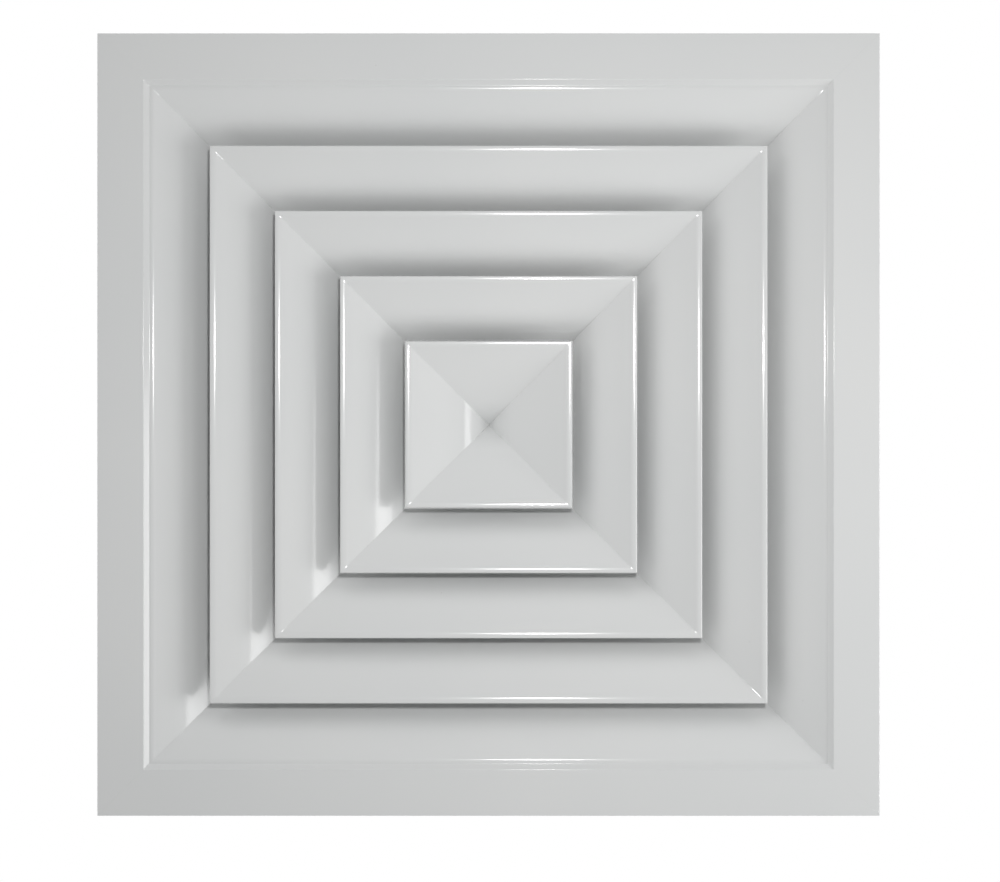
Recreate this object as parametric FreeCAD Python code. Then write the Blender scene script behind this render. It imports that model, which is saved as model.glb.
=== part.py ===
"""Square four-way ceiling air diffuser: aluminium face frame, removable louvre core, neck and damper.

Millimetres. +Z points up into the duct and the room side faces -Z. The origin is the centre of the
room face: the border and all the louvre lips lie in the plane z = 0.
"""
import FreeCAD, Part
import math
import os
from FreeCAD import Vector

# Face frame. A half size is measured from the centre line to one side.
FACE_HALF = 297.5
RIM_HEIGHT = 8.0
BORDER_INNER = 262.3
STEP_INNER = 258.7
STEP_DEPTH = 3.5
LEDGE_INNER = 256.4
FRAME_BEND = 233.0
NECK_HALF = 201.5
FRAME_TOP = 58.0
STEP_ROUND = 0.9
LEDGE_ROUND = 8.0

# Wall of every extrusion, and the slopes and roundings of its bell-shaped louvre profile.
WALL = 1.4
GENTLE = math.tan(math.radians(24.5))
FRAME_STEEP = math.tan(math.radians(45.0))
RING_STEEP = math.tan(math.radians(50.0))
EDGE_ROUND = 1.1
LIP_ROUND = 10.0
BEND_ROUND = 60.0
UPSTAND_ROUND = 5.5

# Louvre rings of the removable core, from the outside in, then the centre pyramid.
RING_NAMES = ("outer_ring", "middle_ring", "inner_ring")
OUTER_RING_HALF = 212.0
RING_PITCH = 49.6
CENTRE_HALF = OUTER_RING_HALF - 3 * RING_PITCH
LIP_FLAT = 3.45
LIP_RETURN = 11.0
LIP_FLARE = 1.5
GENTLE_RUN = 33.0
RING_RUN = 50.0
RING_TOP = 48.0
CENTRE_BEND = 14.0
CENTRE_ROUND = 30.0
RING_RIVET_DROP = 7.0

# Crossed support bars of the core, with an angle bracket at every ring wall.
BAR_WIDTH = 20.0
BAR_THICK = 3.0
BAR_HALF = 192.0
BRACKET_WIDTH = 16.0
BRACKET_LEG = 12.0
SHEET = 1.5
STUD_FOOT_RADIUS = 10.5
STUD_RADIUS = 4.0
STUD_TOP = 63.0
STUD_FOOT_DEPTH = 26.0
WASHER_RADIUS = 8.5
WASHER_THICK = 1.2
NUT_RADIUS = 7.5
NUT_HEIGHT = 6.5

# Corner cleats.
CLEAT_LEG = 24.0
CLEAT_HEIGHT = 9.0
CLEAT_DROP = 1.0
FRAME_CLEAT_OUTER = 292.0
FRAME_CLEAT_WIDTH = 22.0
FRAME_CLEAT_LEG = 70.0

# Spring clips that snap the core into slots in the neck.
CLIP_WIDTH = 12.0
CLIP_SHEET = 0.6
CLIP_NOSE_Z = 62.0
CLIP_NOSE_PAST = 0.3
CLIP_END = BAR_HALF + 3.0
CLIP_LEAN = 1.5
CLIP_NOSE_BELOW = 4.0
CLIP_TIP_ABOVE = 7.0
CLIP_RIVET_X = 184.0
CLIP_TAIL = 8.0
CLIP_TIP_BACK = 1.0
CLIP_HEEL_ROUND = 1.2
CLIP_KNEE_ROUND = 2.0
CLIP_NOSE_ROUND = 1.0
SLOT_WIDTH = 16.0
SLOT_HEIGHT = 5.0

# Neck collar outside the frame's upstand.
NECK_SHEET = 1.2
NECK_BOTTOM = 48.5
NECK_TOP = 144.0
DUCT_SCREW_Z = 67.0
DUCT_SCREW_SPREAD = 150.0
DUCT_SCREW_HOLE = 2.25
LUG_SPREAD = 170.0
LUG_WIDTH = 26.0
LUG_REACH = 28.0
LUG_HOLE = 3.25
LUG_TOP = 122.0
LUG_LEG = 18.0
LUG_RIVET_Z = LUG_TOP - 8.0
NECK_RIVET_Z = 52.5
NECK_RIVET_SPREAD = (-140.0, 0.0, 140.0)

# Opposed-blade damper inside the neck. The blades run along Y and are geared at the +Y end.
BLADE_COUNT = 7
BLADE_PITCH = 56.4
BLADE_HALF_WIDTH = 27.2
BLADE_TUBE = 6.2
BLADE_BORE = 4.2
BEAD_RADIUS = 1.4
WING_EDGE = 0.9
WING_NECK = 0.7
WING_ROOT = 2.2
DAMPER_Z = 107.0
DAMPER_BOTTOM = 74.0
DAMPER_TOP = 140.0
DAMPER_FLANGE = 9.0
GEAR_TEETH = 22
GEAR_THICK = 5.8
PRESSURE_ANGLE = math.radians(20.0)
BACKLASH = 0.3
ADDENDUM = 0.85
DEDENDUM = 1.15
FLANK_POINTS = 5
POCKET_COUNT = 5
POCKET_RADIUS = 5.2
POCKET_DEPTH = 2.0
POCKET_PLACE = 16.0
HUB_RADIUS = 7.5
HUB_SHOULDER = 0.6
STUB_LENGTH = 22.0
RUNNING_GAP = 0.08
END_GAP = 0.5
BUSH_COLLAR = 1.0
BUSH_OUTER = 6.0
BUSH_COLLAR_RADIUS = 9.0
BUSH_END_GAP = 0.2
JOURNAL = 4.0
PIN_COLLAR = 1.5
PIN_COLLAR_RADIUS = 7.0
PIN_REACH = 18.0

# Operating tab on the middle blade.
TAB_HALF = 11.0
TAB_REACH = 11.0
TAB_SHEET = 1.2
TAB_HEIGHT = 12.0
TAB_RISE = 3.5
TAB_CUT_SIDE = 4.0
TAB_CUT_START = 4.5
TAB_CUT_END = 7.5

# Blind rivets and screws.
RIVET_SHANK = 1.6
RIVET_HOLE = 1.7
RIVET_HEAD = 3.3
RIVET_HEAD_HEIGHT = 1.1
RIVET_TAIL = 2.6
RIVET_TAIL_LENGTH = 1.6
RIVET_TAIL_TAPER = 0.4
RIVET_DOME_OUT = 0.72
RIVET_DOME_UP = 0.62
SCREW_HEAD = 3.6
SCREW_HEAD_HEIGHT = 1.8
SCREW_PAST_NECK = 4.0
SCREW_SLOT_HALF = 0.4
SCREW_SLOT_DEPTH = 0.8
DAMPER_SCREW_SPREAD = 2.5 * BLADE_PITCH
DAMPER_SCREW_Z = 84.0

# Cutting tools reach this far past the faces that they cut.
PAST = 2.0
DRILL_PAST = 8.0
WEDGE_TRIM = 0.3

SIDES = {"right": 0.0, "back": 90.0, "left": 180.0, "front": 270.0}
ORIGIN = Vector(0, 0, 0)
X_AXIS = Vector(1, 0, 0)
Y_AXIS = Vector(0, 1, 0)
Z_AXIS = Vector(0, 0, 1)

NECK_INNER = NECK_HALF + WALL
NECK_OUTER = NECK_INNER + NECK_SHEET
WEB_INNER = NECK_INNER - SHEET
BAR_TOP = RING_TOP + BAR_THICK
BRACKET_RIVET_Z = RING_TOP - RING_RIVET_DROP
GEAR_BACK = WEB_INNER - BUSH_COLLAR - BUSH_END_GAP
GEAR_FRONT = GEAR_BACK - GEAR_THICK
BLADE_BACK = GEAR_FRONT - HUB_SHOULDER
BLADE_FRONT = -(WEB_INNER - PIN_COLLAR - END_GAP)


def turned(shape, angle, axis=Z_AXIS, centre=ORIGIN):
    """A copy of the shape turned by angle degrees."""
    copy = shape.copy()
    copy.rotate(centre, axis, angle)
    return copy


def moved(shape, x, y, z):
    """A copy of the shape moved by a vector."""
    copy = shape.copy()
    copy.translate(Vector(x, y, z))
    return copy


def on_side(shape, side):
    """A shape drawn on the +X side, turned to the named side."""
    return turned(shape, SIDES[side])


def block(x0, x1, y0, y1, z0, z1):
    """A box between two corners."""
    return Part.makeBox(x1 - x0, y1 - y0, z1 - z0, Vector(x0, y0, z0))


def rod(radius, start, end):
    """A round bar from start to end."""
    return Part.makeCylinder(radius, (end - start).Length, start, end - start)


def save(node, shapes):
    """Write one node, a single solid or a group of separate solids."""
    solids = [solid for shape in shapes for solid in shape.Solids]
    for solid in solids:
        if not solid.isValid():
            raise ValueError(node + " has a bad solid")
    result = solids[0] if len(solids) == 1 else Part.makeCompound(solids)
    result.exportStep("parts/" + node + ".step")


def filleted_edges(corners):
    """Edges of an open outline in the XZ plane; each corner is (u, z, radius)."""
    points = [Vector(u, 0, z) for u, z, _ in corners]
    edges = []
    last = points[0]
    for i in range(1, len(points) - 1):
        radius = corners[i][2]
        if radius <= 0:
            edges.append(Part.makeLine(last, points[i]))
            last = points[i]
            continue
        back = (points[i - 1] - points[i]).normalize()
        ahead = (points[i + 1] - points[i]).normalize()
        half = back.getAngle(ahead) / 2
        tangent = radius / math.tan(half)
        start = points[i] + back * tangent
        end = points[i] + ahead * tangent
        bisector = (back + ahead).normalize()
        middle = points[i] + bisector * (radius / math.sin(half) - radius)
        edges.append(Part.makeLine(last, start))
        edges.append(Part.Arc(start, middle, end).toShape())
        last = end
    edges.append(Part.makeLine(last, points[-1]))
    return edges


def wall_face(corners, thickness):
    """The section of a bent wall whose room side follows the corners."""
    outline = Part.Wire(filleted_edges(corners))
    return outline.makeOffset2D(-thickness, 1, True, True)


def mitred(face, reach, side):
    """Extrude an XZ section along one side and cut both ends on the 45 degree planes."""
    bar = moved(face, 0, -reach, 0).extrude(Vector(0, 2 * reach, 0))
    corner = reach - WEDGE_TRIM
    wedge_points = [ORIGIN, Vector(corner, -corner, 0), Vector(corner, corner, 0), ORIGIN]
    wedge = Part.Face(Part.makePolygon([point - Z_AXIS for point in wedge_points]))
    wedge = wedge.extrude(Vector(0, 0, NECK_TOP + PAST))
    return on_side(bar.common(wedge), side)


def louvre_corners(half, gentle_run, bend_round, run):
    """Room-side outline of a louvre: lip return, flat lip, gentle slope and steep slope."""
    bend_z = (gentle_run - LIP_FLAT) * GENTLE
    end_z = bend_z + (run - gentle_run) * RING_STEEP
    return [
        (half + LIP_FLARE, LIP_RETURN, 0.0),
        (half, 0.0, EDGE_ROUND),
        (half - LIP_FLAT, 0.0, LIP_ROUND),
        (half - gentle_run, bend_z, bend_round),
        (half - run, end_z, UPSTAND_ROUND),
    ]


def ring_half(index):
    """Half size of a ring at its lip, 0 being the outermost."""
    return OUTER_RING_HALF - index * RING_PITCH


def ring_wall(index):
    """Outer face of a ring's upstand, from the centre line."""
    return ring_half(index) - RING_RUN + WALL


def frame_section():
    """Section of the border extrusion: rim, flat border, bevelled step, slope and upstand."""
    bend_z = STEP_DEPTH + (LEDGE_INNER - FRAME_BEND) * GENTLE
    neck_z = bend_z + (FRAME_BEND - NECK_HALF) * FRAME_STEEP
    return wall_face([
        (FACE_HALF, RIM_HEIGHT, 0.0),
        (FACE_HALF, 0.0, STEP_ROUND),
        (BORDER_INNER, 0.0, STEP_ROUND),
        (STEP_INNER, STEP_DEPTH, STEP_ROUND),
        (LEDGE_INNER, STEP_DEPTH, LEDGE_ROUND),
        (FRAME_BEND, bend_z, BEND_ROUND),
        (NECK_HALF, neck_z, UPSTAND_ROUND),
        (NECK_HALF, FRAME_TOP, 0.0),
    ], WALL)


def wall_hole(y, z, radius):
    """A drill along X that passes through the upstand, neck and damper walls of one side."""
    return rod(radius, Vector(NECK_HALF - DRILL_PAST, y, z), Vector(NECK_OUTER + DRILL_PAST, y, z))


def bar_hole(x, y, z_low, radius):
    """A drill along Z through the support bars and whatever lies under them."""
    return rod(radius, Vector(x, y, z_low - PAST), Vector(x, y, BAR_TOP + PAST))


def frame_sides():
    """The four mitred border extrusions."""
    section = frame_section()
    for side in SIDES:
        bar = mitred(section, FACE_HALF + PAST, side)
        for y in NECK_RIVET_SPREAD:
            bar = bar.cut(on_side(wall_hole(y, NECK_RIVET_Z, RIVET_HOLE), side))
        save("frame_" + side, [bar])


def neck_panels():
    """The four collar panels, with clip slots and holes for the duct screws."""
    section = Part.Face(Part.makePolygon([
        Vector(NECK_INNER, 0, NECK_BOTTOM),
        Vector(NECK_OUTER, 0, NECK_BOTTOM),
        Vector(NECK_OUTER, 0, NECK_TOP),
        Vector(NECK_INNER, 0, NECK_TOP),
        Vector(NECK_INNER, 0, NECK_BOTTOM),
    ]))
    slot_half = SLOT_WIDTH / 2
    slot = block(NECK_INNER - PAST, NECK_OUTER + PAST, -slot_half, slot_half,
                 CLIP_NOSE_Z - SLOT_HEIGHT / 2, CLIP_NOSE_Z + SLOT_HEIGHT / 2)
    for side in SIDES:
        panel = mitred(section, NECK_OUTER + PAST, side)
        cuts = [slot]
        cuts += [wall_hole(y, NECK_RIVET_Z, RIVET_HOLE) for y in NECK_RIVET_SPREAD]
        cuts += [wall_hole(y, DAMPER_SCREW_Z, RIVET_HOLE)
                 for y in (-DAMPER_SCREW_SPREAD, DAMPER_SCREW_SPREAD)]
        cuts += [wall_hole(y, DUCT_SCREW_Z, DUCT_SCREW_HOLE)
                 for y in (-DUCT_SCREW_SPREAD, DUCT_SCREW_SPREAD)]
        if side in ("right", "left"):
            cuts += [wall_hole(y, LUG_RIVET_Z, RIVET_HOLE) for y in (-LUG_SPREAD, LUG_SPREAD)]
        for cut in cuts:
            panel = panel.cut(on_side(cut, side))
        save("neck_" + side, [panel])


def rings():
    """Three louvre rings, each of four mitred extrusions."""
    for index, name in enumerate(RING_NAMES):
        half = ring_half(index)
        corners = louvre_corners(half, GENTLE_RUN, BEND_ROUND, RING_RUN)
        corners.append((half - RING_RUN, RING_TOP, 0.0))
        section = wall_face(corners, WALL)
        hole = rod(RIVET_HOLE, Vector(half - RING_RUN - PAST, 0, BRACKET_RIVET_Z),
                   Vector(ring_wall(index) + PAST, 0, BRACKET_RIVET_Z))
        for side in SIDES:
            blade = mitred(section, half + PAST, side)
            save(name + "_" + side, [blade.cut(on_side(hole, side))])


def centre_section():
    """Section of a centre facet, from its lip to the apex on the centre line."""
    corners = louvre_corners(CENTRE_HALF, CENTRE_HALF - CENTRE_BEND, CENTRE_ROUND, CENTRE_HALF)
    return wall_face(corners[:-1] + [corners[-1][:2] + (0.0,)], WALL)


def centre_facets():
    """The four mitred facets of the recessed centre pyramid."""
    section = centre_section()
    for side in SIDES:
        save("centre_" + side, [mitred(section, CENTRE_HALF + PAST, side)])


def room_above_centre():
    """Solid filling the space above the pyramid's back, near its apex."""
    bend_z = (CENTRE_HALF - CENTRE_BEND - LIP_FLAT) * GENTLE
    lift = WALL * math.sqrt(1 + RING_STEEP ** 2)
    apex_z = bend_z + CENTRE_BEND * RING_STEEP + lift
    reach = STUD_FOOT_RADIUS + PAST
    slope = Part.Face(Part.makePolygon([
        Vector(0, 0, apex_z),
        Vector(reach, 0, apex_z - reach * RING_STEEP),
        Vector(reach, 0, STUD_TOP),
        Vector(0, 0, STUD_TOP),
        Vector(0, 0, apex_z),
    ]))
    quarters = [mitred(slope, reach + PAST, side) for side in SIDES]
    return quarters[0].fuse(quarters[1:]).removeSplitter()


def centre_stud():
    """Threaded stud with a cast foot on the pyramid's back, and its washer and nut."""
    foot_bottom = RING_TOP - STUD_FOOT_DEPTH
    foot = rod(STUD_FOOT_RADIUS, Vector(0, 0, foot_bottom), Vector(0, 0, RING_TOP))
    foot = foot.common(room_above_centre())
    stud = foot.fuse(rod(STUD_RADIUS, Vector(0, 0, RING_TOP - 1), Vector(0, 0, STUD_TOP)))
    save("centre_stud", [stud.removeSplitter()])
    washer_top = BAR_TOP + WASHER_THICK
    bore = rod(STUD_RADIUS, Vector(0, 0, BAR_TOP - 1), Vector(0, 0, STUD_TOP))
    washer = rod(WASHER_RADIUS, Vector(0, 0, BAR_TOP), Vector(0, 0, washer_top)).cut(bore)
    corner = Vector(NUT_RADIUS, 0, washer_top)
    hexagon = []
    for i in range(7):
        turn = math.radians(60 * i)
        hexagon.append(Vector(corner.x * math.cos(turn), corner.x * math.sin(turn), corner.z))
    nut = Part.Face(Part.makePolygon(hexagon)).extrude(Vector(0, 0, NUT_HEIGHT)).cut(bore)
    save("centre_nut", [washer, nut])


def rivet(grip):
    """A blind rivet along +Z: dome head below z = 0, tail above the grip."""
    crown = Vector(0, 0, -RIVET_HEAD_HEIGHT)
    shoulder = Vector(RIVET_HEAD * RIVET_DOME_OUT, 0, -RIVET_HEAD_HEIGHT * RIVET_DOME_UP)
    edge = Vector(RIVET_HEAD, 0, 0)
    tail = grip + RIVET_TAIL_LENGTH
    tail_radius = RIVET_TAIL - RIVET_TAIL_TAPER
    outline = Part.Wire([
        Part.Arc(crown, shoulder, edge).toShape(),
        Part.makeLine(edge, Vector(RIVET_SHANK, 0, 0)),
        Part.makeLine(Vector(RIVET_SHANK, 0, 0), Vector(RIVET_SHANK, 0, grip)),
        Part.makeLine(Vector(RIVET_SHANK, 0, grip), Vector(RIVET_TAIL, 0, grip)),
        Part.makeLine(Vector(RIVET_TAIL, 0, grip), Vector(tail_radius, 0, tail)),
        Part.makeLine(Vector(tail_radius, 0, tail), Vector(0, 0, tail)),
        Part.makeLine(Vector(0, 0, tail), crown),
    ])
    return Part.Face(outline).revolve(ORIGIN, Z_AXIS, 360)


def wall_rivet(y, z, outer_x, grip):
    """A rivet put in from outside along -X, its head on the wall at outer_x."""
    return moved(turned(rivet(grip), -90, Y_AXIS), outer_x, y, z)


def cross_bars():
    """Two half-lapped flat bars that carry the rings, drilled for their rivets."""
    half = BAR_WIDTH / 2
    middle = RING_TOP + BAR_THICK / 2
    bar = block(-BAR_HALF, BAR_HALF, -half, half, RING_TOP, BAR_TOP)
    bar = bar.cut(bar_hole(0, 0, RING_TOP, STUD_RADIUS))
    holes = [ring_wall(index) + BRACKET_LEG / 2 for index in range(len(RING_NAMES))]
    holes.append(CLIP_RIVET_X)
    for x in holes:
        for sign in (-1, 1):
            bar = bar.cut(bar_hole(sign * x, 0, RING_TOP, RIVET_HOLE))
    lower = bar.cut(block(-half, half, -half, half, middle, BAR_TOP + PAST))
    upper = turned(bar, 90).cut(block(-half, half, -half, half, RING_TOP - PAST, middle))
    save("cross_bar_lower", [lower])
    save("cross_bar_upper", [upper])


def ring_brackets():
    """Angle brackets that tie every ring wall to the bars above it."""
    half = BRACKET_WIDTH / 2
    brackets = []
    for index in range(len(RING_NAMES)):
        wall = ring_wall(index)
        leg = block(wall, wall + SHEET, -half, half, RING_TOP - BRACKET_LEG, RING_TOP)
        foot = block(wall, wall + BRACKET_LEG, -half, half, RING_TOP - SHEET, RING_TOP)
        middle = wall + BRACKET_LEG / 2
        bracket = leg.fuse(foot).removeSplitter()
        bracket = bracket.cut(bar_hole(middle, 0, RING_TOP - SHEET, RIVET_HOLE))
        bracket = bracket.cut(rod(RIVET_HOLE, Vector(wall - PAST, 0, BRACKET_RIVET_Z),
                                  Vector(wall + SHEET + PAST, 0, BRACKET_RIVET_Z)))
        brackets += [on_side(bracket, side) for side in SIDES]
    save("ring_brackets", brackets)


def core_rivets():
    """Rivets through the brackets into the rings, and down through the bars."""
    rivets = []
    for index in range(len(RING_NAMES)):
        wall = ring_wall(index)
        into_wall = wall_rivet(0, BRACKET_RIVET_Z, wall + SHEET, SHEET + WALL)
        down = turned(rivet(BAR_THICK + SHEET), 180, X_AXIS)
        down = moved(down, wall + BRACKET_LEG / 2, 0, BAR_TOP)
        for side in SIDES:
            rivets += [on_side(into_wall, side), on_side(down, side)]
    save("core_rivets", rivets)


def ring_cleats():
    """Angle cleats behind the mitres of every ring's upstand."""
    cleats = []
    bottom = RING_TOP - CLEAT_HEIGHT - CLEAT_DROP
    for index in range(len(RING_NAMES)):
        wall = ring_wall(index)
        outer = block(wall - CLEAT_LEG, wall + SHEET, wall - CLEAT_LEG, wall + SHEET,
                      bottom, bottom + CLEAT_HEIGHT)
        inner = block(0, wall, 0, wall, bottom - PAST, RING_TOP)
        angle = outer.cut(inner)
        cleats += [on_side(angle, side) for side in SIDES]
    save("ring_corner_cleats", cleats)


def frame_cleats():
    """Flat corner plates that hold the border's mitres from behind."""
    outer = FRAME_CLEAT_OUTER
    inner = outer - FRAME_CLEAT_WIDTH
    start = outer - FRAME_CLEAT_LEG
    plate = block(start, outer, inner, outer, WALL, WALL + SHEET)
    plate = plate.fuse(block(inner, outer, start, outer, WALL, WALL + SHEET)).removeSplitter()
    save("frame_corner_cleats", [on_side(plate, side) for side in SIDES])


def retaining_clips():
    """Bent spring-steel clips on the bar ends, their noses in the neck's slots, and their rivets."""
    strip = wall_face([
        (CLIP_RIVET_X - CLIP_TAIL, BAR_TOP, 0.0),
        (CLIP_END, BAR_TOP, CLIP_HEEL_ROUND),
        (CLIP_END + CLIP_LEAN, CLIP_NOSE_Z - CLIP_NOSE_BELOW, CLIP_KNEE_ROUND),
        (NECK_OUTER + CLIP_NOSE_PAST, CLIP_NOSE_Z, CLIP_NOSE_ROUND),
        (CLIP_END - CLIP_TIP_BACK, CLIP_NOSE_Z + CLIP_TIP_ABOVE, 0.0),
    ], -CLIP_SHEET)
    half = CLIP_WIDTH / 2
    clip = moved(strip, 0, -half, 0).extrude(Vector(0, CLIP_WIDTH, 0))
    clip = clip.cut(bar_hole(CLIP_RIVET_X, 0, RING_TOP, RIVET_HOLE))
    save("retaining_clips", [on_side(clip, side) for side in SIDES])
    pin = moved(turned(rivet(BAR_THICK + CLIP_SHEET), 180, X_AXIS), CLIP_RIVET_X, 0, BAR_TOP + CLIP_SHEET)
    save("clip_rivets", [on_side(pin, side) for side in SIDES])


def neck_rivets():
    """Rivets that join the neck panels to the frame's upstand."""
    grip = WALL + NECK_SHEET
    rivets = []
    for side in SIDES:
        for y in NECK_RIVET_SPREAD:
            rivets.append(on_side(wall_rivet(y, NECK_RIVET_Z, NECK_OUTER, grip), side))
    save("neck_rivets", rivets)


def suspension_lugs():
    """Drilled angle lugs on the neck for hanging wires, with a rivet each."""
    half = LUG_WIDTH / 2
    lugs = []
    for side in ("right", "left"):
        for y in (-LUG_SPREAD, LUG_SPREAD):
            leg = block(NECK_OUTER, NECK_OUTER + SHEET, y - half, y + half, LUG_TOP - LUG_LEG, LUG_TOP)
            foot = block(NECK_OUTER, NECK_OUTER + LUG_REACH, y - half, y + half, LUG_TOP - SHEET, LUG_TOP)
            lug = leg.fuse(foot).removeSplitter()
            hole_x = NECK_OUTER + LUG_REACH / 2
            lug = lug.cut(rod(LUG_HOLE, Vector(hole_x, y, LUG_TOP - PAST), Vector(hole_x, y, LUG_TOP + PAST)))
            lug = lug.cut(wall_hole(y, LUG_RIVET_Z, RIVET_HOLE))
            lugs.append(on_side(lug, side))
            fixing = wall_rivet(y, LUG_RIVET_Z, NECK_OUTER + SHEET, 2 * SHEET + NECK_SHEET)
            lugs.append(on_side(fixing, side))
    save("suspension_lugs", lugs)


def damper_sides():
    """Four mitred angles of the damper's frame, drilled for pivots, screws and rivets."""
    section = Part.Face(Part.makePolygon([
        Vector(NECK_INNER, 0, DAMPER_BOTTOM),
        Vector(NECK_INNER, 0, DAMPER_TOP),
        Vector(WEB_INNER, 0, DAMPER_TOP),
        Vector(WEB_INNER, 0, DAMPER_BOTTOM + SHEET),
        Vector(NECK_INNER - DAMPER_FLANGE, 0, DAMPER_BOTTOM + SHEET),
        Vector(NECK_INNER - DAMPER_FLANGE, 0, DAMPER_BOTTOM),
        Vector(NECK_INNER, 0, DAMPER_BOTTOM),
    ]))
    pivot_hole = {"front": BLADE_BORE, "back": BUSH_OUTER}
    for side in SIDES:
        angle = mitred(section, NECK_INNER + PAST, side)
        drills = [wall_hole(y, DAMPER_SCREW_Z, RIVET_HOLE)
                  for y in (-DAMPER_SCREW_SPREAD, DAMPER_SCREW_SPREAD)]
        if side in pivot_hole:
            drills += [wall_hole(x, DAMPER_Z, pivot_hole[side]) for x in blade_places()]
        else:
            drills += [wall_hole(y, LUG_RIVET_Z, RIVET_HOLE) for y in (-LUG_SPREAD, LUG_SPREAD)]
        for drill in drills:
            angle = angle.cut(on_side(drill, side))
        save("damper_" + side, [angle])


def damper_screws():
    """Pan-head screws that fix the damper's frame in the neck."""
    length = SHEET + NECK_SHEET + SCREW_PAST_NECK
    head = rod(SCREW_HEAD, ORIGIN, Vector(-SCREW_HEAD_HEIGHT, 0, 0))
    shank = rod(RIVET_SHANK, Vector(-SCREW_HEAD_HEIGHT / 2, 0, 0), Vector(length, 0, 0))
    slot_floor = SCREW_SLOT_DEPTH - SCREW_HEAD_HEIGHT
    slot = block(-SCREW_HEAD_HEIGHT - PAST, slot_floor, -SCREW_SLOT_HALF, SCREW_SLOT_HALF,
                 -SCREW_HEAD - PAST, SCREW_HEAD + PAST)
    screw = head.fuse(shank).removeSplitter().cut(slot)
    screws = []
    for side in SIDES:
        for y in (-DAMPER_SCREW_SPREAD, DAMPER_SCREW_SPREAD):
            screws.append(on_side(moved(screw, WEB_INNER, y, DAMPER_SCREW_Z), side))
    save("damper_screws", screws)


def blade_places():
    """X of every damper blade's axis, from left to right."""
    middle = (BLADE_COUNT - 1) / 2
    return [(i - middle) * BLADE_PITCH for i in range(BLADE_COUNT)]


def blade_solid():
    """One damper blade on the Y axis, standing open: two tapered wings on a tube."""
    half = [
        Vector(WING_EDGE, 0, BLADE_HALF_WIDTH - BEAD_RADIUS / 2),
        Vector(WING_EDGE, 0, BLADE_HALF_WIDTH - 2 * BEAD_RADIUS),
        Vector(WING_NECK, 0, BLADE_HALF_WIDTH - 3 * BEAD_RADIUS),
        Vector(WING_ROOT, 0, BLADE_TUBE - WING_EDGE),
    ]
    lower = [Vector(p.x, 0, -p.z) for p in reversed(half)]
    right = half + lower
    left = [Vector(-p.x, 0, p.z) for p in reversed(right)]
    outline = Part.makePolygon(right + left + right[:1])
    body = Part.Face(outline).extrude(Vector(0, BLADE_BACK - BLADE_FRONT, 0))
    body = moved(body, 0, BLADE_FRONT, 0)
    start = Vector(0, BLADE_FRONT, 0)
    end = Vector(0, BLADE_BACK, 0)
    for z in (BLADE_HALF_WIDTH - BEAD_RADIUS, BEAD_RADIUS - BLADE_HALF_WIDTH):
        body = body.fuse(rod(BEAD_RADIUS, start + Z_AXIS * z, end + Z_AXIS * z))
    body = body.fuse(rod(BLADE_TUBE, start, end)).removeSplitter()
    return body.cut(rod(BLADE_BORE, start - Y_AXIS, end + Y_AXIS))


def involute(base, roll):
    """A point on the involute of a base circle."""
    x = base * (math.cos(roll) + roll * math.sin(roll))
    y = base * (math.sin(roll) - roll * math.cos(roll))
    return math.hypot(x, y), math.atan2(y, x)


def gear_face():
    """The spur gear's outline in the XZ plane, with a tooth centred on +X."""
    module = BLADE_PITCH / GEAR_TEETH
    pitch_radius = BLADE_PITCH / 2
    base = pitch_radius * math.cos(PRESSURE_ANGLE)
    tip = pitch_radius + ADDENDUM * module
    root = pitch_radius - DEDENDUM * module
    step = 2 * math.pi / GEAR_TEETH
    half_tooth = step / 4 - BACKLASH / 2 / pitch_radius
    at_pitch = math.tan(PRESSURE_ANGLE) - PRESSURE_ANGLE
    roll_tip = math.sqrt((tip / base) ** 2 - 1)
    flank = []
    for k in range(FLANK_POINTS):
        radius, angle = involute(base, roll_tip * k / (FLANK_POINTS - 1))
        flank.append((radius, half_tooth + at_pitch - angle))
    corners = []
    for tooth in range(GEAR_TEETH):
        centre = tooth * step
        corners.append((root, centre - flank[0][1]))
        corners += [(radius, centre - angle) for radius, angle in flank]
        corners += [(radius, centre + angle) for radius, angle in reversed(flank)]
        corners.append((root, centre + flank[0][1]))
    points = [Vector(r * math.cos(a), 0, r * math.sin(a)) for r, a in corners]
    return Part.Face(Part.makePolygon(points + points[:1]))


def gear_solid():
    """A gear with hub, journal and the stub that drives its blade, on the Y axis."""
    rim = moved(gear_face(), 0, GEAR_FRONT, 0).extrude(Vector(0, GEAR_THICK, 0))
    for k in range(POCKET_COUNT):
        angle = 2 * math.pi * k / POCKET_COUNT + math.pi / 2
        spot = Vector(POCKET_PLACE * math.cos(angle), 0, POCKET_PLACE * math.sin(angle))
        for low, high in ((GEAR_FRONT - PAST, GEAR_FRONT + POCKET_DEPTH),
                          (GEAR_BACK - POCKET_DEPTH, GEAR_BACK + PAST)):
            rim = rim.cut(rod(POCKET_RADIUS, spot + Y_AXIS * low, spot + Y_AXIS * high))
    hub = rod(HUB_RADIUS, Vector(0, BLADE_BACK, 0), Vector(0, GEAR_BACK, 0))
    shaft = rod(BLADE_BORE, Vector(0, GEAR_FRONT - STUB_LENGTH, 0), Vector(0, GEAR_BACK, 0))
    journal = rod(JOURNAL, Vector(0, GEAR_BACK, 0), Vector(0, NECK_INNER - BUSH_END_GAP, 0))
    return rim.fuse([hub, shaft, journal]).removeSplitter()


def damper_blades():
    """Blades and their gears; neighbouring gears are set half a tooth apart so that they mesh."""
    blade = blade_solid()
    gear = gear_solid()
    for number, x in enumerate(blade_places(), start=1):
        phase = 180.0 / GEAR_TEETH if number % 2 == 0 else 0.0
        save(f"damper_blade_{number}", [moved(blade, x, 0, DAMPER_Z)])
        save(f"blade_gear_{number}", [moved(turned(gear, phase, Y_AXIS), x, 0, DAMPER_Z)])


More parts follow.
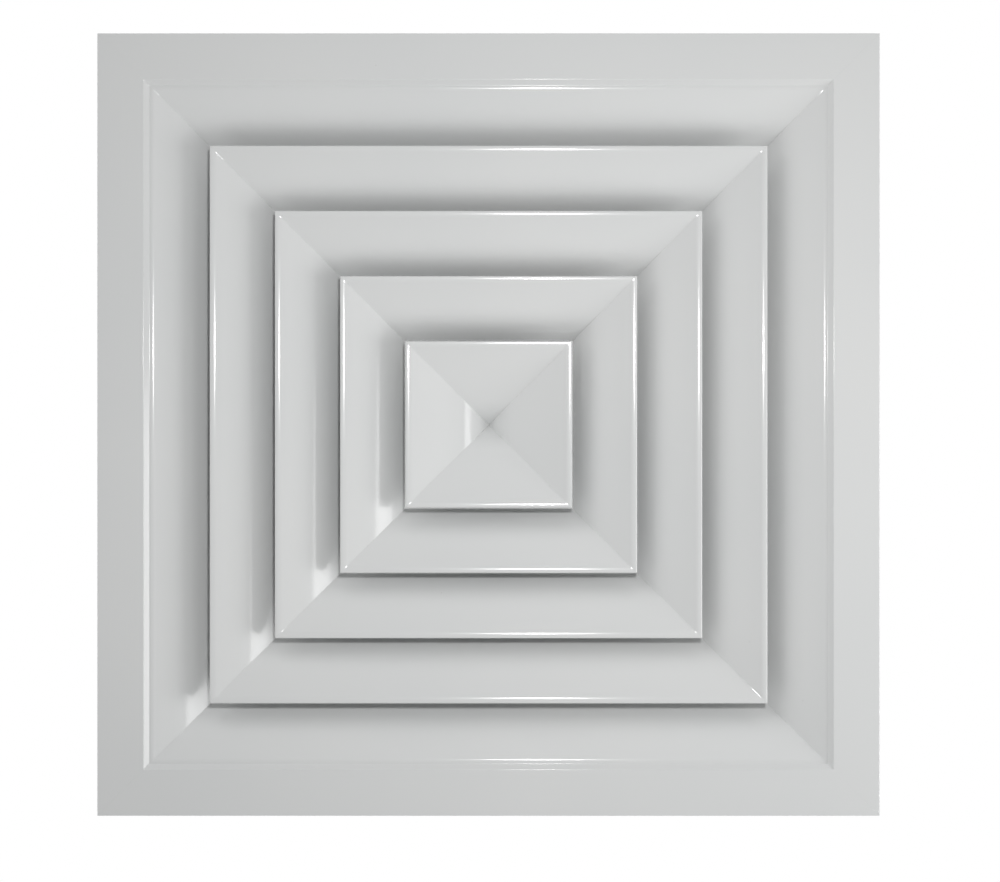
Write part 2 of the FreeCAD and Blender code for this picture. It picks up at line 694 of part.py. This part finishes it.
def damper_bearings():
    """Nylon bushes at the geared end and steel pivot pins at the other."""
    bushes = []
    pins = []
    bore = rod(JOURNAL + RUNNING_GAP, Vector(0, 0, 0), Vector(0, NECK_OUTER, 0))
    bush = rod(BUSH_OUTER, Vector(0, WEB_INNER, 0), Vector(0, NECK_INNER, 0))
    bush = bush.fuse(rod(BUSH_COLLAR_RADIUS, Vector(0, WEB_INNER - BUSH_COLLAR, 0), Vector(0, WEB_INNER, 0)))
    bush = bush.removeSplitter().cut(bore)
    pin_radius = BLADE_BORE - RUNNING_GAP
    pin = rod(pin_radius, Vector(0, -NECK_INNER, 0), Vector(0, BLADE_FRONT + PIN_REACH, 0))
    collar = rod(PIN_COLLAR_RADIUS, Vector(0, -WEB_INNER, 0), Vector(0, PIN_COLLAR - WEB_INNER, 0))
    pin = pin.fuse(collar)
    pin = pin.removeSplitter()
    for x in blade_places():
        bushes.append(moved(bush, x, 0, DAMPER_Z))
        pins.append(moved(pin, x, 0, DAMPER_Z))
    save("gear_bushes", bushes)
    save("pivot_pins", pins)


def operating_tab():
    """Slotted tab on the middle blade, worked from the room side with a blade or hook."""
    low = DAMPER_Z - BLADE_HALF_WIDTH + TAB_RISE
    cut_half = TAB_HALF - TAB_CUT_SIDE
    flat = block(WING_EDGE / 2, BEAD_RADIUS + TAB_SHEET, -TAB_HALF, TAB_HALF, low, low + TAB_HEIGHT)
    shelf = block(WING_EDGE, TAB_REACH, -TAB_HALF, TAB_HALF, low, low + TAB_SHEET)
    tab = flat.fuse(shelf).removeSplitter().cut(moved(blade_solid(), 0, 0, DAMPER_Z))
    tab = tab.cut(block(TAB_CUT_START, TAB_CUT_END, -cut_half, cut_half, low - PAST, low + PAST))
    save("operating_tab", [tab])


os.makedirs("parts", exist_ok=True)
frame_sides()
neck_panels()
rings()
centre_facets()
centre_stud()
cross_bars()
ring_brackets()
core_rivets()
ring_cleats()
frame_cleats()
retaining_clips()
neck_rivets()
suspension_lugs()
damper_sides()
damper_screws()
damper_blades()
damper_bearings()
operating_tab()
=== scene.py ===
"""Ceiling air diffuser, seen from the room below it. Metres, in the CAD frame: +Z up, room side facing -Z."""

import math

import bpy
from mathutils import Matrix, Vector


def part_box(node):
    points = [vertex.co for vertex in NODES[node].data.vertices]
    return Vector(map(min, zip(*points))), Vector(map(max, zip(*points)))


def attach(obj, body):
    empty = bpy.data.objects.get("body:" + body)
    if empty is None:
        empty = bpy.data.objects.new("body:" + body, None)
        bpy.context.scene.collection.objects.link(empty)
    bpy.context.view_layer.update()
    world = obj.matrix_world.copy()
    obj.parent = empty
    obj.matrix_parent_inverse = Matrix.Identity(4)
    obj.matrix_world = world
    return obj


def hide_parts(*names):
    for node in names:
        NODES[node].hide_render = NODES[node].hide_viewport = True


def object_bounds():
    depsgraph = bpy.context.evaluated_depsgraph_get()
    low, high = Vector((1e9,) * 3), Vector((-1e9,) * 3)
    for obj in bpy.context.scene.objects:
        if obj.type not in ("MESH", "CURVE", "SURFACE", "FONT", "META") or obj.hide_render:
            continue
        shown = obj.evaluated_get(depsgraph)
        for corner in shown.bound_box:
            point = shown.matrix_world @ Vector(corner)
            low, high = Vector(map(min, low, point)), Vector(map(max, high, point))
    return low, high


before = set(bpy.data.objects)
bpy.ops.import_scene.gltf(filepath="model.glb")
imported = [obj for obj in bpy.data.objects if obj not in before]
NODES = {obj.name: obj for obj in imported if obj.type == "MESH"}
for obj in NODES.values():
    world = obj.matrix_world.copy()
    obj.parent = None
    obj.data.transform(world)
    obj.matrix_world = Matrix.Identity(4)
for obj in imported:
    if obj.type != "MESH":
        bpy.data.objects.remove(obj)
CAD_LOW, CAD_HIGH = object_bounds()

MM = 0.001
SIDES = {"right": 0.0, "back": 90.0, "left": 180.0, "front": 270.0}
ALONG_X = ("front", "back")
RINGS = ("outer_ring", "middle_ring", "inner_ring")

# Section of the face extrusions in millimetres, as in the CAD part. Corners are (u, z, rounding), with u
# measured outwards from the centre line of the face.
WALL = 1.4
GENTLE = math.tan(math.radians(24.5))
FRAME_STEEP = math.tan(math.radians(45.0))
RING_STEEP = math.tan(math.radians(50.0))
LIP_FLARE = 1.5
LIP_RETURN = 11.0
LIP_FLAT = 3.45
GENTLE_RUN = 33.0
RING_RUN = 50.0
CENTRE_BEND = 14.0
BORDER_INNER = 262.3
STEP_INNER = 258.7
STEP_DEPTH = 3.5
LEDGE_INNER = 256.4
FRAME_BEND = 233.0
NECK_HALF = 201.5
RIM_HEIGHT = 8.0
STEP_ROUND = 0.9
EDGE_ROUND = 1.1
LIP_ROUND = 10.0
LEDGE_ROUND = 8.0
BEND_ROUND = 60.0
CENTRE_ROUND = 30.0
UPSTAND_ROUND = 5.5
APEX_HOLE = 0.15
ARC_STEP = math.radians(3.0)

# Mitres, in millimetres. The mesh stays sharp there: only the normals lean, so that the coat looks as if it
# filled each valley for FILLET_WIDTH on both sides, on metal lower than FILLET_TOP.
MITRE_GAP = 0.01
FILLET_WIDTH = 1.3
FILLET_TOP = 5.0

# The copies of the section along a piece: which end, how far in from its mitre, and how much is filled.
STATIONS = [
    (-1.0, MITRE_GAP, 1.0),
    (-1.0, FILLET_WIDTH, 0.0),
    (1.0, FILLET_WIDTH, 0.0),
    (1.0, MITRE_GAP, 1.0),
]

# The direction across the mitre at each end, on a piece that faces +X.
ACROSS = {end: Vector((-1.0, end, 0.0)).normalized() for end in (-1.0, 1.0)}

# Camera: straight below the face, with its axis a little off the centre. FACE_IN_PHOTO is the width of the
# face as a share of the picture's width.
LENS = 45.0
SENSOR = 36.0
FACE_IN_PHOTO = 0.783
AIM = Vector((0.0087, 0.0125, 0.0))
CLIP_END = 100.0

FLOOR_SIZE = 60.0
FLOOR_Z = -4.8
FLOOR_GLOW = 0.45

# Light. The world is white to the camera. What it sheds on the object is uneven: ROOM_LIGHT from the four
# sides below the ceiling, and ABOVE_LIGHT from over it. The strengths and the two powers come from a
# least-squares fit to the brightness along two lines of the photo, rounded. ABOVE_LIGHT and some of the
# sides were then changed.
ROOM_LIGHT = {"right": 0.25, "left": 0.86, "back": 0.66, "front": 0.80}
ROOM_FOCUS = 2.0
ABOVE_LIGHT = 1.7
ABOVE_FALL = 1.5
GLINT = Vector((0.039, -0.058, 0.0))
LAMP_REACH = 0.95
LAMP_SIZE = (0.07, 0.05)
LAMP_POWER = 3.47
KEY_PLACE = Vector((1.3, 0.3, -0.5))
KEY_TARGET = Vector((0.2, 0.0, 0.0))
KEY_SIZE = (0.8, 0.8)
KEY_POWER = 7.9
CENTRE = Vector((0.0, 0.0, 0.0))


# ---------------------------------------------------------------- shader helpers

def new_material(name):
    """An empty node material and its tree, with a Principled shader wired to the output."""
    material = bpy.data.materials.new(name)
    material.use_nodes = True
    tree = material.node_tree
    shader = tree.nodes["Principled BSDF"]
    return material, tree, shader


def node(tree, kind, **settings):
    """A node with its properties and unlinked inputs set by name."""
    made = tree.nodes.new(kind)
    for key, value in settings.items():
        if hasattr(made, key):
            setattr(made, key, value)
        else:
            made.inputs[key.replace("_", " ")].default_value = value
    return made


def place(tree, scale=(1.0, 1.0, 1.0)):
    """Object coordinates in metres, stretched by scale."""
    coords = node(tree, "ShaderNodeTexCoord")
    mapping = node(tree, "ShaderNodeMapping")
    mapping.inputs["Scale"].default_value = scale
    tree.links.new(coords.outputs["Object"], mapping.inputs["Vector"])
    return mapping.outputs["Vector"]


def noise(tree, vector, scale, detail=2.0, roughness=0.5):
    """A noise value read at the given place."""
    made = node(tree, "ShaderNodeTexNoise", Scale=scale, Detail=detail, Roughness=roughness)
    tree.links.new(vector, made.inputs["Vector"])
    return made.outputs["Fac"]


def spread(tree, value, low, high, from_low=0.3, from_high=0.7):
    """A value mapped from the usual range of a noise to low..high."""
    made = node(tree, "ShaderNodeMapRange")
    made.inputs["From Min"].default_value = from_low
    made.inputs["From Max"].default_value = from_high
    made.inputs["To Min"].default_value = low
    made.inputs["To Max"].default_value = high
    tree.links.new(value, made.inputs["Value"])
    return made.outputs["Result"]


def two_tone(tree, value, dark, light):
    """A colour between dark and light."""
    made = node(tree, "ShaderNodeMix", data_type="RGBA")
    made.inputs["A"].default_value = (*dark, 1.0)
    made.inputs["B"].default_value = (*light, 1.0)
    tree.links.new(value, made.inputs["Factor"])
    return made.outputs["Result"]


def bump(tree, height, strength, distance, under=None):
    """A bump normal; under is another bump's normal that this one is laid on."""
    made = node(tree, "ShaderNodeBump", Strength=strength, Distance=distance)
    tree.links.new(height, made.inputs["Height"])
    if under is not None:
        tree.links.new(under, made.inputs["Normal"])
    return made.outputs["Normal"]


def connect(tree, shader, color, rough, normal, metallic=0.0):
    """Wires colour, roughness and normal to the shader, and sets how metallic it is."""
    tree.links.new(color, shader.inputs["Base Color"])
    tree.links.new(rough, shader.inputs["Roughness"])
    tree.links.new(normal, shader.inputs["Normal"])
    shader.inputs["Metallic"].default_value = metallic


# ---------------------------------------------------------------- materials

def powder_coat(name, along_x):
    """Gloss white powder coat: fine orange peel over faint die lines, with a little uneven tone and dust."""
    material, tree, shader = new_material(name)
    plain = place(tree)
    lines = place(tree, (3.0, 420.0, 420.0) if along_x else (420.0, 3.0, 420.0))
    tone = spread(tree, noise(tree, plain, scale=5.0), low=0.0, high=1.0)
    color = two_tone(tree, tone, dark=(0.775, 0.787, 0.785), light=(0.80, 0.808, 0.803))
    dust = node(tree, "ShaderNodeTexVoronoi", Scale=24.0)
    tree.links.new(plain, dust.inputs["Vector"])
    speck = spread(tree, dust.outputs["Distance"], low=0.5, high=0.0, from_low=0.004, from_high=0.014)
    specked = node(tree, "ShaderNodeMix", data_type="RGBA")
    specked.inputs["B"].default_value = (0.46, 0.45, 0.43, 1.0)
    tree.links.new(speck, specked.inputs["Factor"])
    tree.links.new(color, specked.inputs["A"])
    patch = noise(tree, plain, scale=24.0, detail=1.0)
    rough = spread(tree, patch, low=0.13, high=0.16, from_low=0.2, from_high=0.8)
    peel = bump(tree, noise(tree, plain, scale=900.0), strength=0.10, distance=0.00025)
    die = bump(tree, noise(tree, lines, scale=1.0, detail=3.0), strength=0.10, distance=0.0002, under=peel)
    connect(tree, shader, specked.outputs["Result"], rough, die)
    shader.inputs["IOR"].default_value = 1.5
    return material


def mill_aluminium(name, along_x):
    """Bare extruded aluminium with fine die lines along its length and dull patches."""
    material, tree, shader = new_material(name)
    plain = place(tree)
    lines = place(tree, (6.0, 900.0, 900.0) if along_x else (900.0, 6.0, 900.0))
    streak = noise(tree, lines, scale=1.0, detail=4.0, roughness=0.6)
    tone = spread(tree, streak, low=0.0, high=1.0)
    color = two_tone(tree, tone, dark=(0.60, 0.61, 0.625), light=(0.76, 0.765, 0.775))
    rough = spread(tree, noise(tree, plain, scale=14.0, detail=4.0), low=0.26, high=0.46)
    grooves = bump(tree, streak, strength=0.25, distance=0.0001)
    connect(tree, shader, color, rough, grooves, metallic=1.0)
    return material


def galvanised(name):
    """Zinc-coated sheet with crystal spangle of many greys."""
    material, tree, shader = new_material(name)
    plain = place(tree)
    ripple = noise(tree, plain, scale=60.0)
    cells = node(tree, "ShaderNodeTexVoronoi", Scale=110.0)
    tree.links.new(plain, cells.inputs["Vector"])
    split = node(tree, "ShaderNodeSeparateColor")
    tree.links.new(cells.outputs["Color"], split.inputs["Color"])
    crystal = split.outputs["Red"]
    color = two_tone(tree, crystal, dark=(0.50, 0.52, 0.54), light=(0.72, 0.74, 0.76))
    rough = spread(tree, crystal, low=0.30, high=0.48, from_low=0.0, from_high=1.0)
    connect(tree, shader, color, rough, bump(tree, ripple, strength=0.15, distance=0.0005), metallic=1.0)
    return material


def zinc_plate(name):
    """Bright zinc plating on small fixings, a little uneven."""
    material, tree, shader = new_material(name)
    plain = place(tree)
    patch = noise(tree, plain, scale=260.0, detail=3.0)
    tone = spread(tree, patch, low=0.0, high=1.0)
    color = two_tone(tree, tone, dark=(0.56, 0.57, 0.58), light=(0.78, 0.785, 0.79))
    rough = spread(tree, patch, low=0.22, high=0.38)
    grain = bump(tree, noise(tree, plain, scale=1400.0), strength=0.15, distance=0.0001)
    connect(tree, shader, color, rough, grain, metallic=1.0)
    return material


def spring_strip(name):
    """Dark tempered stainless strip with rolling marks."""
    material, tree, shader = new_material(name)
    streak = noise(tree, place(tree, (700.0, 700.0, 20.0)), scale=1.0, detail=3.0)
    tone = spread(tree, streak, low=0.0, high=1.0)
    color = two_tone(tree, tone, dark=(0.30, 0.31, 0.33), light=(0.46, 0.47, 0.49))
    rough = spread(tree, streak, low=0.18, high=0.30)
    connect(tree, shader, color, rough, bump(tree, streak, strength=0.20, distance=0.00005), metallic=1.0)
    return material


def moulded_nylon(name, dark, light):
    """Moulded nylon with a fine matt grain."""
    material, tree, shader = new_material(name)
    plain = place(tree)
    grain = noise(tree, plain, scale=1500.0)
    tone = spread(tree, noise(tree, plain, scale=30.0), low=0.0, high=1.0)
    color = two_tone(tree, tone, dark, light)
    rough = spread(tree, grain, low=0.42, high=0.58)
    connect(tree, shader, color, rough, bump(tree, grain, strength=0.25, distance=0.0001))
    return material


def pale_floor():
    """Plain pale floor with a barely uneven tone and a faint glow of its own."""
    material, tree, shader = new_material("pale_floor")
    tone = spread(tree, noise(tree, place(tree), scale=0.4), low=0.0, high=1.0)
    color = two_tone(tree, tone, dark=(0.74, 0.74, 0.735), light=(0.78, 0.78, 0.775))
    tree.links.new(color, shader.inputs["Base Color"])
    shader.inputs["Roughness"].default_value = 0.7
    shader.inputs["Emission Color"].default_value = (1.0, 1.0, 0.995, 1.0)
    shader.inputs["Emission Strength"].default_value = FLOOR_GLOW
    return material


COAT = {True: powder_coat("powder_coat_x", True), False: powder_coat("powder_coat_y", False)}
MILL = {True: mill_aluminium("mill_aluminium_x", True), False: mill_aluminium("mill_aluminium_y", False)}
GALVANISED = galvanised("galvanised_sheet")
ZINC = zinc_plate("zinc_plate")
SPRING = spring_strip("spring_steel")
BLACK_NYLON = moulded_nylon("black_nylon", (0.020, 0.021, 0.023), (0.035, 0.036, 0.038))
PALE_NYLON = moulded_nylon("pale_nylon", (0.70, 0.69, 0.64), (0.78, 0.77, 0.72))


def finish_for(name):
    """The material of a CAD node, from its name."""
    along_x = name.rsplit("_", 1)[-1] in ALONG_X
    if name.startswith(("frame_corner", "ring_corner", "ring_brackets")):
        return MILL[False]
    if name.startswith("cross_bar"):
        return MILL[name.endswith("lower")]
    if name in ("centre_stud", "centre_nut"):
        return ZINC
    if name.startswith(("frame_", "centre_") + RINGS):
        return COAT[along_x]
    if name.endswith(("rivets", "screws", "pins")):
        return ZINC
    if name.startswith(("neck_", "suspension")):
        return GALVANISED
    if name.startswith("blade_gear"):
        return BLACK_NYLON
    if name.startswith("gear_bushes"):
        return PALE_NYLON
    if name == "retaining_clips":
        return SPRING
    return MILL[along_x and not name.startswith("damper_blade")]


for node_name, thing in NODES.items():
    for holder in thing.material_slots:
        holder.material = finish_for(node_name)


# ---------------------------------------------------------------- face extrusions

def steps_of(points):
    """Unit directions along a run of points."""
    return [(b - a).normalized() for a, b in zip(points, points[1:])]


def right_of(step):
    """The direction to the right of a step, which is the side of the metal."""
    return Vector((step.y, -step.x))


def spun(vector, angle):
    """A flat vector turned counter-clockwise."""
    return Vector((vector.x * math.cos(angle) - vector.y * math.sin(angle),
                   vector.x * math.sin(angle) + vector.y * math.cos(angle)))


def back_corners(corners):
    """The corners of the duct side of the wall, from those of the room side."""
    points = [Vector((u, z)) for u, z, _ in corners]
    steps = steps_of(points)
    sides = [right_of(step) for step in steps]
    moved = [(*(points[0] + sides[0] * WALL), 0.0)]
    for i in range(1, len(points) - 1):
        middle = (sides[i - 1] + sides[i]).normalized()
        point = points[i] + middle * (WALL / middle.dot(sides[i]))
        bends_back = steps[i - 1].cross(steps[i]) > 0
        radius = corners[i][2] + (WALL if bends_back else -WALL)
        moved.append((*point, max(radius, 0.0)))
    moved.append((*(points[-1] + sides[-1] * WALL), 0.0))
    return moved


def rounded(corners):
    """Samples (point, left normal before, left normal after) along an outline with rounded corners."""
    points = [Vector((u, z)) for u, z, _ in corners]
    steps = steps_of(points)
    lefts = [-right_of(step) for step in steps]
    samples = [(points[0], lefts[0], lefts[0])]
    for i in range(1, len(points) - 1):
        radius = corners[i][2]
        if radius <= 0.0:
            samples.append((points[i], lefts[i - 1], lefts[i]))
            continue
        bend = steps[i - 1].angle(steps[i])
        sign = 1.0 if steps[i - 1].cross(steps[i]) > 0 else -1.0
        start = points[i] - steps[i - 1] * (radius * math.tan(bend / 2))
        centre = start + lefts[i - 1] * (sign * radius)
        count = max(2, math.ceil(bend / ARC_STEP))
        for k in range(count + 1):
            angle = sign * bend * k / count
            left = spun(lefts[i - 1], angle)
            samples.append((centre + spun(start - centre, angle), left, left))
    samples.append((points[-1], lefts[-1], lefts[-1]))
    return samples


def section_of(corners):
    """Closed section of a wall: its points, and the outward normals at both ends of every strip."""
    front = rounded(corners)
    back = [(point, -after, -before) for point, before, after in reversed(rounded(back_corners(corners)))]
    samples = front + back
    strips = [(samples[i][2], samples[(i + 1) % len(samples)][1]) for i in range(len(samples))]
    for i in (len(front) - 1, len(samples) - 1):
        edge = samples[(i + 1) % len(samples)][0] - samples[i][0]
        across = -right_of(edge.normalized())
        strips[i] = (across, across)
    return [sample[0] for sample in samples], strips


def leaned(normal, end, amount):
    """A section's normal in space, with that amount of its part across the mitre taken away."""
    flat = Vector((normal.x, 0.0, normal.y))
    flat -= ACROSS[end] * (flat.dot(ACROSS[end]) * amount)
    return flat.normalized()


def mitred_mesh(name, corners, side):
    """The mesh of a face extrusion cut at 45 degrees at both ends, with its own normals."""
    points, strips = section_of(corners)
    filled = [1.0 if point.y < FILLET_TOP else 0.0 for point in points]
    turn = Matrix.Rotation(math.radians(SIDES[side]), 3, "Z")
    verts = []
    for end, inset, _ in STATIONS:
        for point in points:
            length = max(point.x - inset, 0.0)
            verts.append(turn @ Vector((point.x, end * length, point.y)) * MM)
    size = len(points)
    faces = []
    normals = []
    for row in range(len(STATIONS) - 1):
        near = row * size
        far = near + size
        for j in range(size):
            k = (j + 1) % size
            faces.append((near + j, near + k, far + k, far + j))
            before, after = strips[j]
            for station, normal, fill in ((row, before, filled[j]), (row, after, filled[k]),
                                          (row + 1, after, filled[k]), (row + 1, before, filled[j])):
                end, _, blend = STATIONS[station]
                normals.append(turn @ leaned(normal, end, blend * fill))
    last = (len(STATIONS) - 1) * size
    for end, cap in ((-1.0, list(range(size))[::-1]), (1.0, list(range(last, last + size)))):
        faces.append(cap)
        normals += [turn @ ACROSS[end]] * size
    mesh = bpy.data.meshes.new(name + "_profile")
    mesh.from_pydata(verts, [], faces)
    for face in mesh.polygons:
        face.use_smooth = True
    mesh.normals_split_custom_set(normals)
    return mesh


def mitred_piece(name, corners, side, body):
    """A face extrusion in place of the CAD node of the same name."""
    piece = bpy.data.objects.new(name + "_profile", mitred_mesh(name, corners, side))
    bpy.context.scene.collection.objects.link(piece)
    piece.data.materials.append(COAT[side in ALONG_X])
    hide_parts(name)
    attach(piece, body)


def louvre_corners(half, gentle_run, bend_round, run):
    """Room-side corners of a louvre, from its lip's return to where its run ends."""
    bend_z = (gentle_run - LIP_FLAT) * GENTLE
    return [
        (half + LIP_FLARE, LIP_RETURN, 0.0),
        (half, 0.0, EDGE_ROUND),
        (half - LIP_FLAT, 0.0, LIP_ROUND),
        (half - gentle_run, bend_z, bend_round),
        (half - run, bend_z + (run - gentle_run) * RING_STEEP, UPSTAND_ROUND),
    ]


def frame_corners(half, top):
    """Room-side corners of the border extrusion."""
    bend_z = STEP_DEPTH + (LEDGE_INNER - FRAME_BEND) * GENTLE
    neck_z = bend_z + (FRAME_BEND - NECK_HALF) * FRAME_STEEP
    return [
        (half, RIM_HEIGHT, 0.0),
        (half, 0.0, STEP_ROUND),
        (BORDER_INNER, 0.0, STEP_ROUND),
        (STEP_INNER, STEP_DEPTH, STEP_ROUND),
        (LEDGE_INNER, STEP_DEPTH, LEDGE_ROUND),
        (FRAME_BEND, bend_z, BEND_ROUND),
        (NECK_HALF, neck_z, UPSTAND_ROUND),
        (NECK_HALF, top, 0.0),
    ]


def add_face():
    """Every mitred extrusion of the face, sized from its CAD node."""
    for side in SIDES:
        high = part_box("frame_right")[1] / MM
        mitred_piece("frame_" + side, frame_corners(high.x, high.z), side, "frame")
        for ring in RINGS:
            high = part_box(ring + "_right")[1] / MM
            half = high.x - LIP_FLARE
            corners = louvre_corners(half, GENTLE_RUN, BEND_ROUND, RING_RUN)
            corners.append((half - RING_RUN, high.z, 0.0))
            mitred_piece(ring + "_" + side, corners, side, "core")
        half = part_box("centre_right")[1].x / MM - LIP_FLARE
        corners = louvre_corners(half, half - CENTRE_BEND, CENTRE_ROUND, half - APEX_HOLE)
        corners[-1] = (*corners[-1][:2], 0.0)
        mitred_piece("centre_" + side, corners, side, "core")


add_face()


# ---------------------------------------------------------------- floor, light and camera

def add_floor():
    """A wide pale floor far below the ceiling. It neither lights nor shades the object."""
    bpy.ops.mesh.primitive_plane_add(size=FLOOR_SIZE, location=(0.0, 0.0, FLOOR_Z))
    floor = bpy.context.object
    floor.name = "room_floor"
    floor.data.materials.append(pale_floor())
    floor.visible_diffuse = False
    floor.visible_glossy = False
    floor.visible_shadow = False


def add_area(name, size, power, location, target):
    """A soft rectangular light aimed at a point, and unseen by the camera."""
    data = bpy.data.lights.new(name, "AREA")
    data.shape = "RECTANGLE"
    data.size, data.size_y = size
    data.energy = power
    lamp = bpy.data.objects.new(name, data)
    lamp.location = location
    lamp.rotation_mode = "QUATERNION"
    lamp.rotation_quaternion = (target - location).to_track_quat("-Z", "Y")
    lamp.visible_camera = False
    bpy.context.scene.collection.objects.link(lamp)


def add_world():
    """White to the camera. To the object, light from four sides below the ceiling and from above it."""
    world = bpy.data.worlds.new("studio")
    bpy.context.scene.world = world
    world.use_nodes = True
    tree = world.node_tree
    tree.nodes.clear()
    coords = node(tree, "ShaderNodeTexCoord")
    axes = node(tree, "ShaderNodeSeparateXYZ")
    tree.links.new(coords.outputs["Generated"], axes.inputs["Vector"])

    def math_node(operation, first, second):
        made = node(tree, "ShaderNodeMath", operation=operation)
        for socket, value in zip(made.inputs, (first, second)):
            if isinstance(value, float):
                socket.default_value = value
            else:
                tree.links.new(value, socket)
        return made.outputs["Value"]

    def negative(value):
        return math_node("MULTIPLY", value, -1.0)

    def at_least_zero(value):
        return math_node("MAXIMUM", value, 0.0)

    x, y, z = (axes.outputs[name] for name in "XYZ")
    down = at_least_zero(negative(z))
    # 4 d (1 - d) is nought at the horizon and straight below, and 1 at 30 degrees below the horizon.
    slack = math_node("SUBTRACT", 4.0, math_node("MULTIPLY", down, 4.0))
    ring = math_node("POWER", math_node("MULTIPLY", down, slack), ROOM_FOCUS)
    lobes = {
        "right": at_least_zero(x),
        "left": at_least_zero(negative(x)),
        "back": at_least_zero(y),
        "front": at_least_zero(negative(y)),
    }
    total = 0.0
    for side, weight in ROOM_LIGHT.items():
        total = math_node("ADD", total, math_node("MULTIPLY", lobes[side], weight))
    total = math_node("MULTIPLY", total, ring)
    fall = math_node("POWER", math_node("SUBTRACT", 1.0, at_least_zero(z)), ABOVE_FALL)
    overhead = math_node("GREATER_THAN", z, 0.0)
    above = math_node("MULTIPLY", overhead, math_node("MULTIPLY", fall, ABOVE_LIGHT))
    total = math_node("ADD", total, above)
    soft = node(tree, "ShaderNodeBackground")
    tree.links.new(total, soft.inputs["Strength"])
    white = node(tree, "ShaderNodeBackground", Strength=1.0)
    for background in (soft, white):
        background.inputs["Color"].default_value = (1.0, 1.0, 1.0, 1.0)
    path = node(tree, "ShaderNodeLightPath")
    mix = node(tree, "ShaderNodeMixShader")
    out = node(tree, "ShaderNodeOutputWorld")
    tree.links.new(path.outputs["Is Camera Ray"], mix.inputs["Fac"])
    tree.links.new(soft.outputs["Background"], mix.inputs[1])
    tree.links.new(white.outputs["Background"], mix.inputs[2])
    tree.links.new(mix.outputs["Shader"], out.inputs["Surface"])


def add_camera():
    """The camera below the face, with the front side of the face at the top of the picture."""
    data = bpy.data.cameras.new("camera")
    data.lens = LENS
    data.sensor_width = SENSOR
    data.clip_end = CLIP_END
    face = CAD_HIGH.x - CAD_LOW.x
    distance = face / FACE_IN_PHOTO * LENS / SENSOR
    back = Vector((0.0, 0.0, -1.0))
    right = Vector((1.0, 0.0, 0.0))
    up = back.cross(right)
    turn = Matrix((right, up, back)).transposed().to_4x4()
    camera = bpy.data.objects.new("camera", data)
    camera.matrix_world = Matrix.Translation(AIM + back * distance) @ turn
    bpy.context.scene.collection.objects.link(camera)
    bpy.context.scene.camera = camera
    return camera.matrix_world.translation.copy()


def add_lamp(eye):
    """A small hard lamp whose mirror point on the face is GLINT, seen from the camera."""
    ray = (GLINT - eye).normalized()
    mirrored = Vector((ray.x, ray.y, -ray.z))
    add_area("glint_lamp", LAMP_SIZE, LAMP_POWER, GLINT + mirrored * LAMP_REACH, CENTRE)


add_floor()
add_world()
EYE = add_camera()
add_lamp(EYE)
add_area("key_right", KEY_SIZE, KEY_POWER, KEY_PLACE, KEY_TARGET)
bpy.context.scene.view_settings.view_transform = "Standard"
